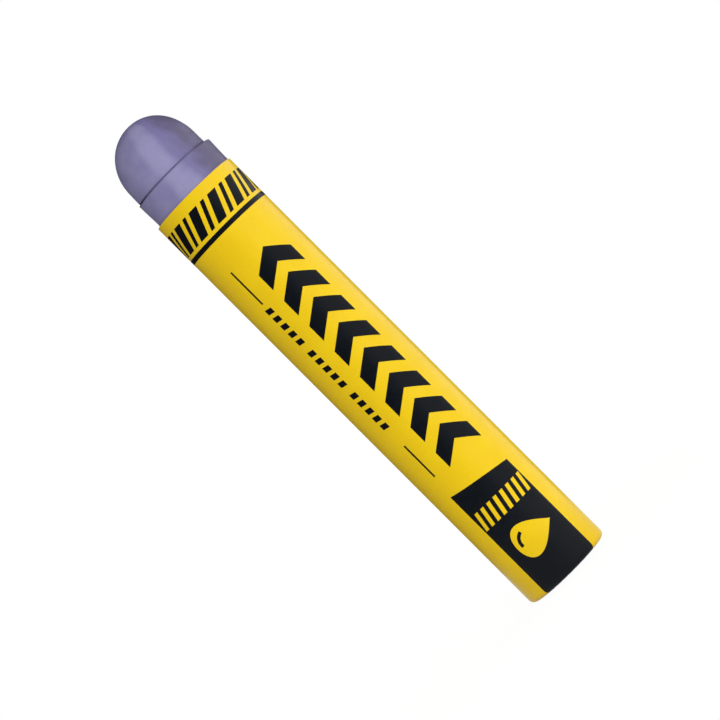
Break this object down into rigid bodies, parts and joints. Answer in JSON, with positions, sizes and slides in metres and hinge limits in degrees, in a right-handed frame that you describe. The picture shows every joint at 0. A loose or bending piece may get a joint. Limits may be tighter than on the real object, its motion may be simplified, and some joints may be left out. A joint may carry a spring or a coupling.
{
  "type": "solid paint marker",
  "caption": "Solid paint marker: a bullet-tipped stick of solid paint that is pushed up through a rolled paper tube with a folded-in rear hem.",
  "frame": {"origin": "centre of the tube's rear end, on the plane that its folded hem stands on", "axes": "+Z along the marker's axis towards the marking tip, -Y towards the printed front of the label, whose lap seam is at +Y"},
  "size_m": [0.0194, 0.0195, 0.1207],
  "materials": {
    "solid_paint": "satin",
    "dried_paint": "matte",
    "cup_plastic": "satin",
    "liner_paper": "satin",
    "kraft_board": "matte",
    "label_paper": "satin",
    "label_ink": "satin"
  },
  "bodies": {
    "tube": {"bore_liner": "liner_paper", "inner_board_ply": "kraft_board", "outer_board_ply": "kraft_board", "printed_label": "label_paper"},
    "stick": {"paint_stick": "solid_paint", "dried_skin": "dried_paint", "follower_cup": "cup_plastic"}
  },
  "joints": [
    {"name": "stick_advance", "type": "slide", "parent": "tube", "child": "stick", "axis": [0, 0, 1], "range_m": [0, 0.09]}
  ]
}
